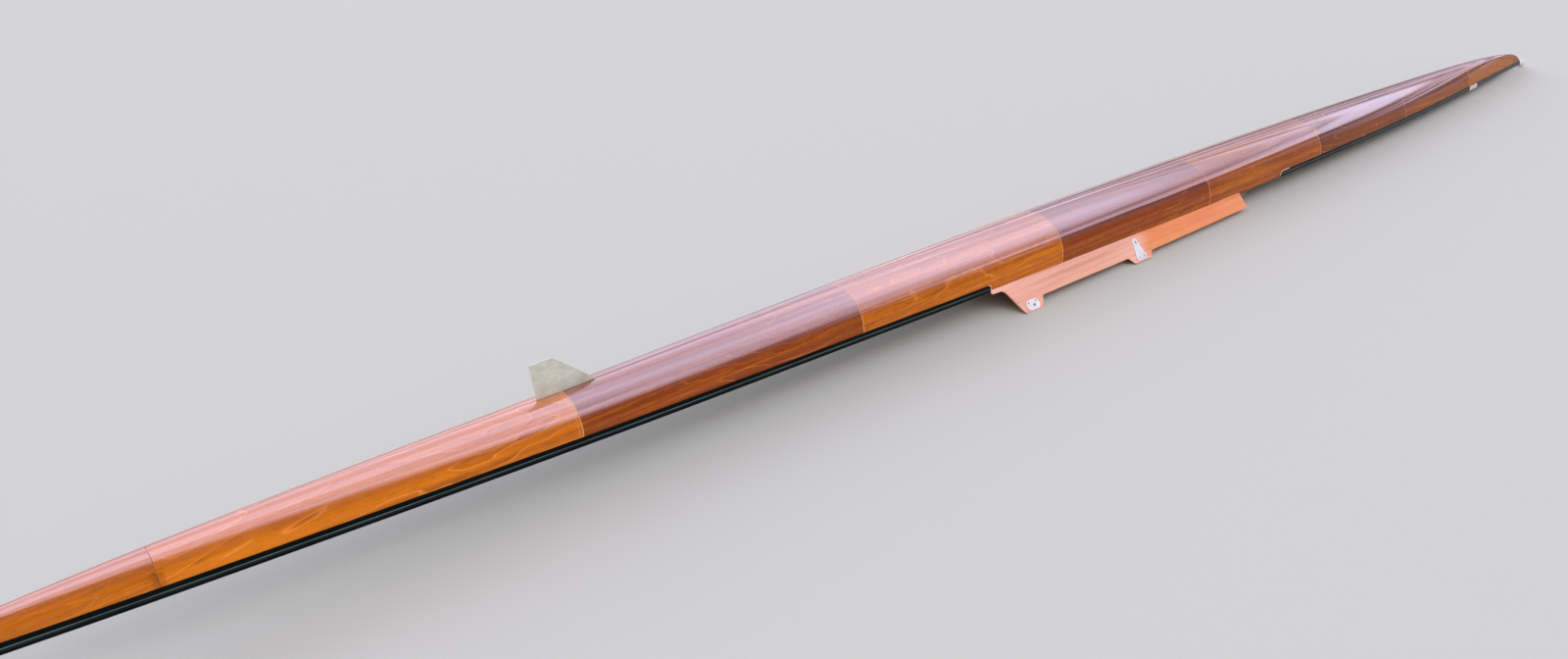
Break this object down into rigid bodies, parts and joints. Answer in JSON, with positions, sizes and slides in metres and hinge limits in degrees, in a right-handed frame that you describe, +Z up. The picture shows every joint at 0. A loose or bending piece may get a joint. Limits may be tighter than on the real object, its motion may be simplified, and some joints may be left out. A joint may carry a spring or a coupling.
{
  "type": "rowing boat",
  "caption": "Racing single scull with a varnished veneer hull, flared washboards, decked ends, slide tracks and an adjustable foot stretcher, parked keel up.",
  "frame": {"origin": "on the ground below the middle of the boat's bounding box, parked keel up", "axes": "+X from the stern to the bow, +Y to the boat's starboard side as it lies keel up, +Z up through the keel"},
  "size_m": [8.1972, 0.4112, 0.3206],
  "materials": {
    "varnished_mahogany": "high gloss varnish",
    "pale_mahogany": "satin varnish",
    "spruce": "varnished",
    "black_strip": "gloss",
    "black_deck": "gloss",
    "aluminium": "bare sheet",
    "plate_metal": "brushed",
    "white_rubber": "matt",
    "black_plastic": "matt",
    "leather": "worn"
  },
  "bodies": {
    "boat": {"hull_panel_1": "varnished_mahogany", "hull_panel_2": "varnished_mahogany", "hull_panel_3": "varnished_mahogany", "hull_panel_4": "varnished_mahogany", "hull_panel_5": "varnished_mahogany", "hull_panel_6": "varnished_mahogany", "hull_panel_7": "varnished_mahogany", "hull_panel_8": "varnished_mahogany", "hull_panel_9": "varnished_mahogany", "sternpost": "varnished_mahogany", "stem": "varnished_mahogany", "gunwale_strip_stern_starboard": "black_strip", "gunwale_strip_stern_port": "black_strip", "gunwale_strip_bow_starboard": "black_strip", "gunwale_strip_bow_port": "black_strip", "stern_deck": "black_deck", "bow_deck": "black_deck", "bulkhead_stern": "spruce", "hatch_stern": "black_plastic", "bulkhead_bow": "spruce", "hatch_bow": "black_plastic", "keelson": "spruce", "rib_1": "spruce", "rib_2": "spruce", "rib_3": "spruce", "inwale_starboard": "spruce", "inwale_port": "spruce", "washboard_starboard": "pale_mahogany", "washboard_port": "pale_mahogany", "shoulder_knee_stern_starboard": "spruce", "shoulder_knee_stern_port": "spruce", "shoulder_plate_stern_starboard": "plate_metal", "shoulder_plate_stern_port": "plate_metal", "shoulder_knee_bow_starboard": "spruce", "shoulder_knee_bow_port": "spruce", "shoulder_plate_bow_starboard": "plate_metal", "shoulder_plate_bow_port": "plate_metal", "splash_board_starboard": "pale_mahogany", "splash_board_port": "pale_mahogany", "slide_beam_1": "spruce", "slide_beam_2": "spruce", "slide_beam_3": "spruce", "slide_runner_starboard": "spruce", "slide_runner_port": "spruce", "slide_track_starboard": "aluminium", "slide_track_port": "aluminium", "stretcher_rail_starboard": "spruce", "stretcher_rail_port": "spruce", "stretcher_keel_rail": "aluminium", "fin": "aluminium", "bow_ball": "white_rubber"},
    "foot_stretcher": {"stretcher_board": "spruce", "stretcher_bar": "spruce", "stretcher_foot": "spruce", "heel_cups": "black_plastic", "toe_strap": "leather"}
  },
  "joints": [
    {"name": "stretcher_slide", "type": "slide", "parent": "boat", "child": "foot_stretcher", "axis": [0.9999, 0, -0.0126], "range_m": [-0.1, 0.1]}
  ]
}
